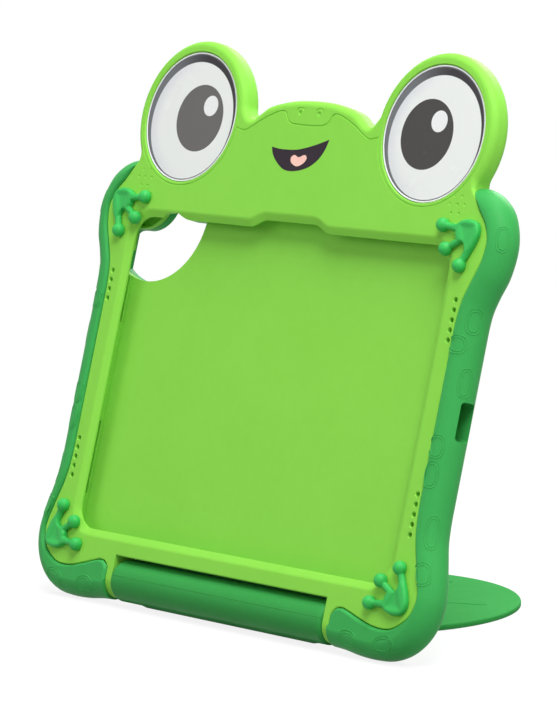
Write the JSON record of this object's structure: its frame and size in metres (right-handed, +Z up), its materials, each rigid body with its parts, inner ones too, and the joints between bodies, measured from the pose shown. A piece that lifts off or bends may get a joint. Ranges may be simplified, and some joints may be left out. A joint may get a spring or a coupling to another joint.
{
  "type": "tablet bumper case",
  "caption": "Soft protective case for a tablet, with a frog's head above the screen, a thick bumper round the edge and a round stand that folds against the back.",
  "frame": {"origin": "on the floor, at the middle of the case and stand together as seen from above", "axes": "+X to the right of someone who faces the screen, +Y from the screen to the stand behind it, +Z up"},
  "size_m": [0.3058, 0.1895, 0.2922],
  "materials": {
    "lime_rubber": "satin moulded",
    "green_rubber": "satin moulded",
    "paw_green": "satin moulded",
    "stand_green": "satin moulded",
    "eye_print": "gloss",
    "steel": "ground",
    "grey_plastic": "moulded"
  },
  "bodies": {
    "case": {"inner_shell": "lime_rubber", "outer_shell": "green_rubber", "left_eye_disc": "eye_print", "left_hand": "paw_green", "left_foot": "paw_green", "left_hinge_shaft": "steel", "left_hinge_anchor": "grey_plastic", "right_eye_disc": "eye_print", "right_hand": "paw_green", "right_foot": "paw_green", "right_hinge_shaft": "steel", "right_hinge_anchor": "grey_plastic"},
    "stand": {"stand": "stand_green", "bar_cover": "stand_green", "left_hinge_clip": "steel", "right_hinge_clip": "steel"}
  },
  "joints": [
    {"name": "stand_hinge", "type": "hinge", "parent": "case", "child": "stand", "pos_m": [0, -0.08331, 0.0128], "axis": [1, 0, 0], "range_deg": [-25, 74.8]}
  ]
}
